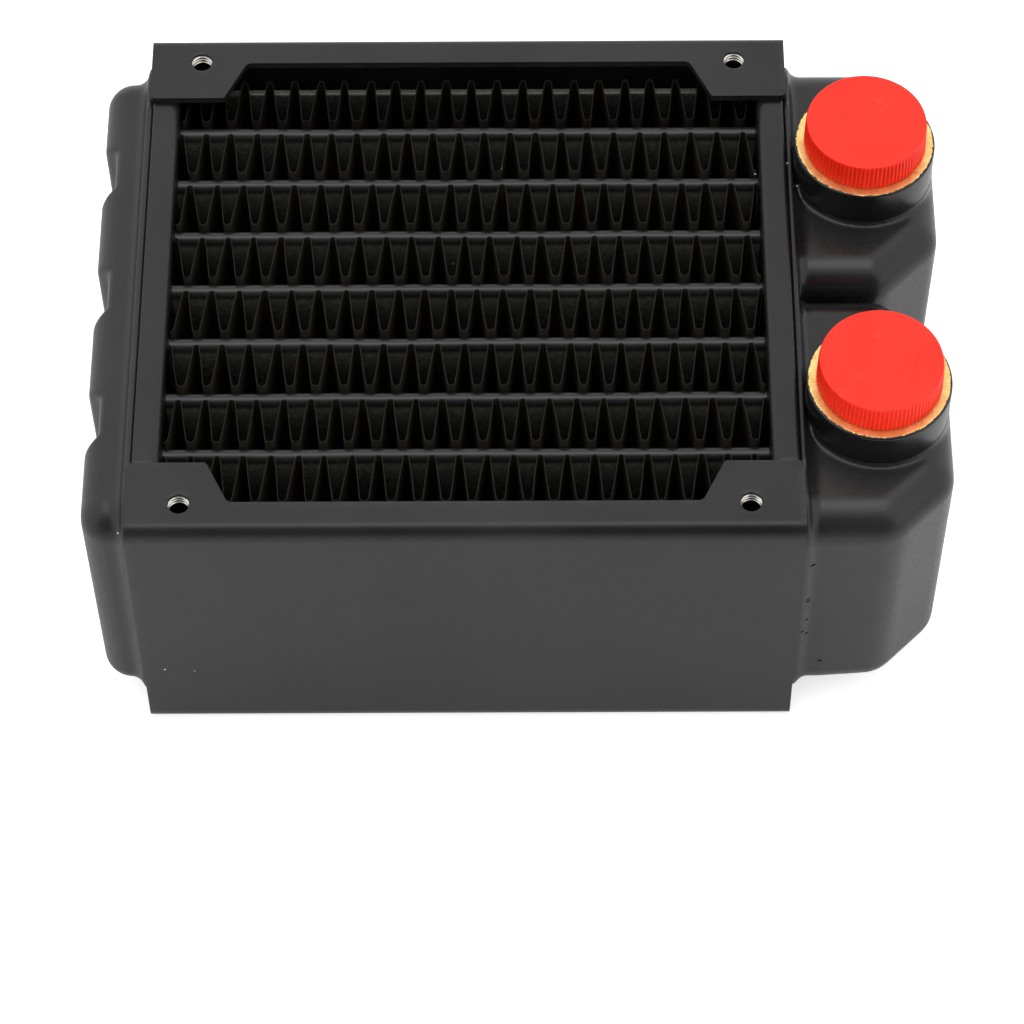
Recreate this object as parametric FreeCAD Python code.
import FreeCAD, Part
import math
import os

# Liquid cooling radiator for one 80 mm fan, with two G1/4 ports.
# Millimetres. +X points to the port tank, -Y is the front, +Z is up. The origin
# is the centre of the bottom screw pattern, on the bottom face.

Vector = FreeCAD.Vector

# ---- overall -----------------------------------------------------------
HOLE_SPACING = 71.5        # square fan and case screw pattern
HOLE_OFFSET = HOLE_SPACING / 2
PLATE_LENGTH = 85.0        # side plates, along X
DEPTH = 80.4               # outside of one side plate to the other
HEIGHT = 45.0              # bottom flange to top flange
MID_Z = HEIGHT / 2
SHEET = 1.0                # side plate sheet

# ---- side plates -------------------------------------------------------
M3_TAP_R = 1.25            # minor radius of the M3 thread
BEND_OUT = 1.8             # outer bend radius
BEND_IN = BEND_OUT - SHEET
TAB_Y = 29.5               # inner edge of the screw tabs
TAB_X = 32.6               # inner corner of a tab
LEDGE_Y = 35.5             # inner edge of the narrow ledge between the tabs
LEDGE_X = 29.7             # end of the ledge; a slanted edge leads to the tab
TAB_TRIM = 3.0             # flange width left over for trimming to the outline
COLLAR_R = 2.25            # drawn collar around each tapped hole
COLLAR_H = 0.9

# ---- flat tubes --------------------------------------------------------
TUBE_PITCH = 8.68
TUBE_COUNT = 7
TUBE_T = 2.0
TUBE_Z0 = 2.9
TUBE_Z1 = HEIGHT - TUBE_Z0
TUBE_WALL = 0.3
TUBE_END = 40.2            # |x| of the ends, just through the headers
TUBE_FLAT = 0.02           # the edge radius falls short of half thickness by this
SLOT_GAP = 0.03            # tube to header slot
TUBE_YS = [(i - (TUBE_COUNT - 1) / 2) * TUBE_PITCH for i in range(TUBE_COUNT)]

# ---- fin strips and core end plates ------------------------------------
FIN_Z0 = 2.0
FIN_Z1 = HEIGHT - FIN_Z0
FIN_T = 0.12
FIN_FOLDS = 45             # half periods
FIN_FOLD_R = 0.55
FIN_END = 38.3             # |x| of the strips' ends
FIN_GAP = 0.002            # strip to tube or end plate
CORE_EDGE = 34.1           # |y| of the end plates' inner faces
END_PLATE_T = 1.0
END_PLATE_Z0 = 5.0
END_PLATE_Z1 = HEIGHT - END_PLATE_Z0
END_PLATE_R = 0.3

# ---- header trays ------------------------------------------------------
TRAY_X0, TRAY_X1 = 38.6, 42.1   # floor to rim
TRAY_WALL = 0.9
TRAY_FLOOR = 1.0
TRAY_BEND = 1.2
TRAY_Y = 38.3
TRAY_R = 5.0
TRAY_HIGH_Y = 28.9         # up to this |y| the rim stands higher than under the tabs
TRAY_STEP_Y = 29.4
TRAY_HIGH_Z = 0.7          # high part of the rim, below the flange's face
TRAY_STEP_INSET = 0.6      # share of an inset by which the step moves in Y

# ---- both tanks --------------------------------------------------------
TANK_WALL = 0.9
TANK_Z0 = 3.0
TANK_Z1 = HEIGHT - TANK_Z0
BLOCK_X0 = 36.0            # tank blocks start here, and are trimmed at the rim
LIP_T = 0.9                # base lip
LIP_INSET = 0.35

# ---- return tank -------------------------------------------------------
RETURN_X = 48.75           # |x| of the outside face
RETURN_Y = 37.0
RETURN_ROUND = 3.6         # around the outside face
RETURN_CORNER_R = 4.0
GROOVE_DEPTH = 1.7
GROOVE_SLOPE = 1.8         # width of each slanted side
GROOVE_R = 1.5
GROOVES = ((-3.3, 4.7), (16.6, 24.7), (-23.3, -15.2))   # y0, y1 at half slope

# ---- port tank: two lobes, waist and divider ---------------------------
PORT_TANK_X = 62.1         # outside face
PORT_TANK_Y = 37.5
PORT_TANK_ROUND = 3.8      # top and bottom rims
LOBE_X0 = 30.0             # lobes start here, and are trimmed at the rim
LOBE_R = 5.0
LOBE_NOSE_R = 7.5          # where the outermost facets start
LOBE_Y0 = 0.65             # half width of the slot between the lobes
FACET_X = 54.2             # where the facets start
FACET_Y_OUT = PORT_TANK_Y - (PORT_TANK_X - FACET_X)   # 45 degree facet
FACET_Y_IN = 8.6
WAIST_X = 50.0
WAIST_Y = 4.0
WAIST_HALF_H = 13.0
DIVIDER_Y = TUBE_PITCH / 2
DIVIDER_T = 1.0

# ---- ports -------------------------------------------------------------
PORT_X, PORT_Y = 52.3, 19.2
BOSS_R = 9.25
BOSS_Z0 = TANK_Z1 - 4.5
BOSS_TOP = 47.9
BOSS_CHAMFER = 0.3
SPIGOT_R = 8.2
SPIGOT_Z0 = 40.5
SPIGOT_Z1 = TANK_Z1 + 0.5
G14_MINOR_R = 5.72
MOUTH_H = 0.09             # small cone at the mouth of the bore
MOUTH_R0 = G14_MINOR_R - 0.01
MOUTH_R1 = G14_MINOR_R + 0.08
CAP_R = 8.0
CAP_TOP = 52.1
CAP_FLUTES = 90
FLUTE_DEPTH = 0.22
CAP_BEVEL_H = 0.35
CAP_BEVEL_R0, CAP_BEVEL_R1 = CAP_R - 0.1, CAP_R - 0.4
STUB_R = 5.65
STUB_Z = 42.6
STUB_CHAMFER = 0.5
STUB_OVERLAP = 2.0         # the stub reaches this far into the cap
PLUG_BORE_R = 4.2
PLUG_ROOF = 1.8            # cap left above the bore
SEAL_RING_R, SEAL_CORD_R = 6.55, 0.72
SEAL_LIFT = 0.003          # seal above the boss
RECESS_GAP_R, RECESS_GAP_Z = 0.12, 0.08   # cap recess around the seal


# ---- helpers -----------------------------------------------------------
def prism(corners, plane, start, end):
    """Extrude a closed outline of (a, b, corner radius), drawn in plane 'XY' or
    'YZ', from start to end along the third axis."""
    if plane == "XY":
        points = [Vector(a, b, start) for a, b, radius in corners]
        travel = Vector(0, 0, end - start)
    else:
        points = [Vector(start, a, b) for a, b, radius in corners]
        travel = Vector(end - start, 0, 0)
    count = len(points)
    bends = []             # arc start, middle and end at each corner
    for i, point in enumerate(points):
        radius = corners[i][2]
        if radius <= 0:
            bends.append((point, None, point))
            continue
        to_last = (points[i - 1] - point).normalize()
        to_next = (points[(i + 1) % count] - point).normalize()
        bisector = (to_last + to_next).normalize()
        half = math.acos(max(-1, min(1, to_last.dot(to_next)))) / 2
        reach = radius / math.tan(half)
        middle = point + bisector * (radius / math.sin(half) - radius)
        bends.append((point + to_last * reach, middle, point + to_next * reach))
    edges = []
    for i, (first, middle, last) in enumerate(bends):
        if middle is not None:
            edges.append(Part.Arc(first, middle, last).toShape())
        following = bends[(i + 1) % count][0]
        if (following - last).Length > 1e-6:
            edges.append(Part.makeLine(last, following))
    return Part.Face(Part.Wire(edges)).extrude(travel)


def rounded_bar(y0, y1, z0, z1, radius, x0, x1):
    """Bar along X whose section is a rounded rectangle."""
    corners = [(y0, z0, radius), (y1, z0, radius), (y1, z1, radius), (y0, z1, radius)]
    return prism(corners, "YZ", x0, x1)


def box(x0, x1, y0, y1, z0, z1):
    return Part.makeBox(x1 - x0, y1 - y0, z1 - z0, Vector(x0, y0, z0))


def cylinder(radius, x, y, z0, z1):
    return Part.makeCylinder(radius, z1 - z0, Vector(x, y, z0))


def mirror_x(shape):
    return shape.mirror(Vector(0, 0, 0), Vector(1, 0, 0))


def mirror_y(shape):
    return shape.mirror(Vector(0, 0, 0), Vector(0, 1, 0))


def edges_at(shape, axis, place):
    """Edges whose vertices all have this coordinate; axis is 'x' or 'z'."""
    return [edge for edge in shape.Edges
            if all(abs(getattr(v.Point, axis) - place) < 1e-6 for v in edge.Vertexes)]


def rim_circle(shape, z):
    """Circular edges of an upright cylinder centred at height z."""
    return [edge for edge in shape.Edges if abs(edge.CenterOfMass.z - z) < 1e-6]


def one(shape):
    """Merge split faces, and unwrap a shape that holds a single solid."""
    shape = shape.removeSplitter()
    if len(shape.Solids) == 1:
        return shape.Solids[0]
    return shape


def save(shape, name):
    if not shape.isValid():
        shape.fix(1e-4, 1e-4, 1e-4)
    shape.exportStep("parts/%s.step" % name)


# ---- core --------------------------------------------------------------
def side_plate():
    """Front C-channel, trimmed to leave screw tabs at its ends."""
    outer = -DEPTH / 2
    inner = outer + SHEET
    edge = -TAB_Y + TAB_TRIM
    half = PLATE_LENGTH / 2
    channel = prism([(outer, 0, BEND_OUT), (outer, HEIGHT, BEND_OUT),
                     (edge, HEIGHT, 0), (edge, HEIGHT - SHEET, 0),
                     (inner, HEIGHT - SHEET, BEND_IN), (inner, SHEET, BEND_IN),
                     (edge, SHEET, 0), (edge, 0, 0)], "YZ", -half, half)
    outline = prism([(-half, outer - 1, 0), (half, outer - 1, 0),
                     (half, -TAB_Y, 0.7), (TAB_X, -TAB_Y, 0.4),
                     (LEDGE_X, -LEDGE_Y, 1.0), (-LEDGE_X, -LEDGE_Y, 1.0),
                     (-TAB_X, -TAB_Y, 0.4), (-half, -TAB_Y, 0.7)],
                    "XY", -1, HEIGHT + 1)
    plate = channel.common(outline)
    collars = ((HEIGHT - SHEET - COLLAR_H, HEIGHT - SHEET / 2),
               (SHEET / 2, SHEET + COLLAR_H))
    for x in (-HOLE_OFFSET, HOLE_OFFSET):
        for z0, z1 in collars:
            plate = plate.fuse(cylinder(COLLAR_R, x, -HOLE_OFFSET, z0, z1))
    for x in (-HOLE_OFFSET, HOLE_OFFSET):
        plate = plate.cut(cylinder(M3_TAP_R, x, -HOLE_OFFSET, -1, HEIGHT + 1))
    return one(plate)


def tube_bar(y, grow, x0, x1):
    """Solid flat tube section, grown on all sides."""
    half = TUBE_T / 2 + grow
    return rounded_bar(y - half, y + half, TUBE_Z0 - grow, TUBE_Z1 + grow,
                       half - TUBE_FLAT, x0, x1)


def flat_tube(y):
    outer = tube_bar(y, 0, -TUBE_END, TUBE_END)
    return one(outer.cut(tube_bar(y, -TUBE_WALL, -TUBE_END - 1, TUBE_END + 1)))


def tray_block(inset, x0, x1):
    """Solid with the tray's outline, inset on all sides."""
    y_side, z_low = TRAY_Y - inset, SHEET + inset
    y_high = TRAY_HIGH_Y - inset * TRAY_STEP_INSET
    y_step = TRAY_STEP_Y - inset * TRAY_STEP_INSET
    z_high = TRAY_HIGH_Z + inset
    radius = TRAY_R - inset
    corners = [(-y_high, z_high, 0.5), (y_high, z_high, 0.5), (y_step, z_low, 0.4),
               (y_side, z_low, radius), (y_side, HEIGHT - z_low, radius),
               (y_step, HEIGHT - z_low, 0.4), (y_high, HEIGHT - z_high, 0.5),
               (-y_high, HEIGHT - z_high, 0.5), (-y_step, HEIGHT - z_low, 0.4),
               (-y_side, HEIGHT - z_low, radius), (-y_side, z_low, radius),
               (-y_step, z_low, 0.4)]
    return prism(corners, "YZ", x0, x1)


def header_tray(hollow):
    """Tray at +X, open outward, its floor slotted for the tubes."""
    tray = tray_block(0, TRAY_X0, TRAY_X1)
    # Guards the fillet: if it can't be built, the floor's edge stays sharp.
    try:
        bent = tray.makeFillet(TRAY_BEND, edges_at(tray, "x", TRAY_X0))
        if bent.isValid() and len(bent.Solids) == 1:
            tray = bent
    except Exception:
        pass
    tray = tray.cut(hollow)
    for y in TUBE_YS:
        tray = tray.cut(tube_bar(y, SLOT_GAP, TRAY_X0 - 1, TRAY_X0 + 2))
    return one(tray)


def fin_strip(y0, y1):
    """One strip folded between the planes y0 and y1, its sheet upright."""
    count = FIN_FOLDS + 1
    half_period = 2 * FIN_END / FIN_FOLDS
    # The folds are laid out on the middle of the sheet.
    y_low, y_high = y0 + FIN_T / 2, y1 - FIN_T / 2
    rise = y_high - y_low - 2 * FIN_FOLD_R
    distance = math.hypot(half_period, rise)
    # The legs are the inner tangents of neighbouring folds.
    lean = math.atan2(rise, half_period) + math.asin(2 * FIN_FOLD_R / distance)

    def fold_arcs(offset):
        """Start, middle and end of each fold on one face of the sheet."""
        arcs = []
        for k in range(count):
            up = 1 if k % 2 else -1
            radius = FIN_FOLD_R + offset * up
            x = -FIN_END + k * half_period
            y = (y_high if k % 2 else y_low) - up * FIN_FOLD_R
            # The first and last folds are cut off at their crests.
            start = math.pi / 2 if k == 0 else lean + math.pi / 2
            end = math.pi / 2 if k == count - 1 else math.pi / 2 - lean
            arcs.append([Vector(x + radius * math.cos(angle),
                                y + up * radius * math.sin(angle), FIN_Z0)
                         for angle in (start, (start + end) / 2, end)])
        return arcs

    edges = []
    sides = [fold_arcs(FIN_T / 2), fold_arcs(-FIN_T / 2)]
    for side in sides:
        for k, (first, middle, last) in enumerate(side):
            edges.append(Part.Arc(first, middle, last).toShape())
            if k < count - 1:
                edges.append(Part.makeLine(last, side[k + 1][0]))
    edges.append(Part.makeLine(sides[0][0][0], sides[1][0][0]))
    edges.append(Part.makeLine(sides[0][-1][2], sides[1][-1][2]))
    wire = Part.Wire(Part.__sortEdges__(edges))
    return Part.Face(wire).extrude(Vector(0, 0, FIN_Z1 - FIN_Z0))


def core_end_plate():
    """Front plate, its long edges rounded."""
    plate = box(-TRAY_X0, TRAY_X0, -CORE_EDGE - END_PLATE_T, -CORE_EDGE,
                END_PLATE_Z0, END_PLATE_Z1)
    long_edges = [edge for edge in plate.Edges
                  if abs(edge.Vertexes[0].Point.x - edge.Vertexes[1].Point.x) > 1]
    return one(plate.makeFillet(END_PLATE_R, long_edges))


# ---- tanks -------------------------------------------------------------
def return_block(inset, x1):
    """Block out to x1, rounded around its outside face."""
    y = RETURN_Y - inset
    block = rounded_bar(-y, y, TANK_Z0 + inset, TANK_Z1 - inset,
                        RETURN_CORNER_R - inset, BLOCK_X0, x1)
    return block.makeFillet(RETURN_ROUND - inset, edges_at(block, "x", x1))


def return_tank(outboard, lip):
    """Built at +X: a shell with upright grooves in its outside face."""
    tank = return_block(0, RETURN_X)
    floor_x = RETURN_X - GROOVE_DEPTH
    half = GROOVE_SLOPE * 0.5
    for y0, y1 in GROOVES:
        corners = [(RETURN_X + 1, y0 - GROOVE_SLOPE - 1, 0),
                   (RETURN_X + 1, y1 + GROOVE_SLOPE + 1, 0),
                   (RETURN_X, y1 + half, GROOVE_R), (floor_x, y1 - half, GROOVE_R),
                   (floor_x, y0 + half, GROOVE_R), (RETURN_X, y0 - half, GROOVE_R)]
        tank = tank.cut(prism(corners, "XY", -1, HEIGHT + 1))
    cavity = return_block(TANK_WALL, floor_x - TANK_WALL)
    return one(tank.fuse(lip).common(outboard).cut(cavity))


def lobe(inset, sign):
    """One faceted lobe, at +Y or -Y by sign, inset on all sides."""
    y_in, y_out = LOBE_Y0 + inset, PORT_TANK_Y - inset
    shift = inset * math.tan(math.radians(22.5))
    facet_x = FACET_X - shift
    x_end = PORT_TANK_X - inset
    z0, z1 = TANK_Z0 + inset, TANK_Z1 - inset
    radius = LOBE_R - inset
    corners = [(LOBE_X0, y_in, radius), (facet_x, y_in, radius),
               (x_end, FACET_Y_IN + shift, radius),
               (x_end, FACET_Y_OUT - shift, radius),
               (facet_x, y_out, LOBE_NOSE_R - inset), (LOBE_X0, y_out, radius)]
    block = prism([(x, sign * y, r) for x, y, r in corners], "XY", z0, z1)
    rims = [edge for edge in block.Edges
            if all(abs(v.Point.z - z0) < 1e-6 for v in edge.Vertexes)
            or all(abs(v.Point.z - z1) < 1e-6 for v in edge.Vertexes)]
    return block.makeFillet(PORT_TANK_ROUND - inset, rims)


def port_tank_block(inset):
    """Both lobes, joined by the low waist."""
    half = WAIST_HALF_H - inset
    waist = box(BLOCK_X0, WAIST_X - inset, -WAIST_Y, WAIST_Y, MID_Z - half, MID_Z + half)
    return lobe(inset, 1).fuse(lobe(inset, -1)).fuse(waist)


def port_tank(skin, cavity):
    tank = skin.cut(cavity)
    for sign in (-1, 1):
        tank = tank.cut(cylinder(SPIGOT_R, PORT_X, sign * PORT_Y, TANK_Z1 - 3, TANK_Z1 + 3))
    return one(tank)


def tank_divider(cavity, outboard, hollow):
    """Wall across the room inside the port tank and its tray."""
    slab = box(TRAY_X0 + TRAY_FLOOR, PORT_TANK_X,
               DIVIDER_Y - DIVIDER_T / 2, DIVIDER_Y + DIVIDER_T / 2, 0, HEIGHT)
    tray_room = hollow.common(box(0, TRAY_X1, -50, 50, 0, 50))
    return one(cavity.common(outboard).fuse(tray_room).common(slab))


# ---- ports -------------------------------------------------------------
def port_boss(y, skin):
    boss = cylinder(BOSS_R, PORT_X, y, BOSS_Z0, BOSS_TOP)
    boss = boss.makeChamfer(BOSS_CHAMFER, rim_circle(boss, BOSS_TOP))
    # The boss sits on the outside of the tank; nothing stays in or below it.
    boss = boss.cut(skin.fuse(box(30, 70, y - 30, y + 30, 0, 30)))
    boss = boss.fuse(cylinder(SPIGOT_R, PORT_X, y, SPIGOT_Z0, SPIGOT_Z1))
    boss = boss.cut(cylinder(G14_MINOR_R, PORT_X, y, 0, 60))
    boss = boss.cut(Part.makeCone(MOUTH_R0, MOUTH_R1, MOUTH_H,
                                  Vector(PORT_X, y, BOSS_TOP - MOUTH_H)))
    return one(boss)


def port_plug(y):
    """Fluted cap with a seal recess, and a hollow stub below it."""
    points = []
    for i in range(2 * CAP_FLUTES):
        angle = math.pi * i / CAP_FLUTES
        radius = CAP_R if i % 2 == 0 else CAP_R - FLUTE_DEPTH
        points.append(Vector(PORT_X + radius * math.cos(angle),
                             y + radius * math.sin(angle), BOSS_TOP))
    points.append(points[0])
    bevel_z = CAP_TOP - CAP_BEVEL_H
    cap = Part.Face(Part.makePolygon(points)).extrude(Vector(0, 0, bevel_z - BOSS_TOP))
    cap = cap.fuse(Part.makeCone(CAP_BEVEL_R0, CAP_BEVEL_R1, CAP_BEVEL_H,
                                 Vector(PORT_X, y, bevel_z)))
    cap = cap.cut(cylinder(SEAL_RING_R + SEAL_CORD_R + RECESS_GAP_R, PORT_X, y,
                           BOSS_TOP - 1, BOSS_TOP + 2 * SEAL_CORD_R + RECESS_GAP_Z))
    stub = cylinder(STUB_R, PORT_X, y, STUB_Z, BOSS_TOP + STUB_OVERLAP)
    stub = stub.makeChamfer(STUB_CHAMFER, rim_circle(stub, STUB_Z))
    bore = cylinder(PLUG_BORE_R, PORT_X, y, STUB_Z - 1, CAP_TOP - PLUG_ROOF)
    return one(cap.fuse(stub).cut(bore))


def plug_seal(y):
    return Part.makeTorus(SEAL_RING_R, SEAL_CORD_R,
                          Vector(PORT_X, y, BOSS_TOP + SEAL_CORD_R + SEAL_LIFT))


# ---- build -------------------------------------------------------------
os.makedirs("parts", exist_ok=True)

plate = side_plate()
save(plate, "side_plate_front")
save(mirror_y(plate), "side_plate_rear")

tray_hollow = tray_block(TRAY_WALL, TRAY_X0 + TRAY_FLOOR, TRAY_X1 + 1)
tray = header_tray(tray_hollow)
save(tray, "header_plate_right")
save(mirror_x(tray), "header_plate_left")

for i, y in enumerate(TUBE_YS):
    save(flat_tube(y), "flat_tube_%d" % (i + 1))

# Fin strips fill the gaps between end plates and tubes, from front to rear.
faces = [-CORE_EDGE]
for y in TUBE_YS:
    faces += [y - TUBE_T / 2, y + TUBE_T / 2]
faces.append(CORE_EDGE)
for i in range(TUBE_COUNT + 1):
    save(fin_strip(faces[2 * i] + FIN_GAP, faces[2 * i + 1] - FIN_GAP),
         "fin_strip_%d" % (i + 1))

end_plate = core_end_plate()
save(end_plate, "core_end_plate_front")
save(mirror_y(end_plate), "core_end_plate_rear")

outboard = box(TRAY_X1, 80, -50, 50, -5, 50)   # all space beyond the tray's rim
lip = tray_block(LIP_INSET, TRAY_X1, TRAY_X1 + LIP_T)
save(mirror_x(return_tank(outboard, lip)), "return_tank")

skin = port_tank_block(0).common(outboard).fuse(lip)
cavity = port_tank_block(TANK_WALL)
save(port_tank(skin, cavity), "port_tank")
save(tank_divider(cavity, outboard, tray_hollow), "tank_divider")

for y, side in ((-PORT_Y, "front"), (PORT_Y, "rear")):
    save(port_boss(y, skin), "port_boss_" + side)
    save(port_plug(y), "port_plug_" + side)
    save(plug_seal(y), "plug_seal_" + side)
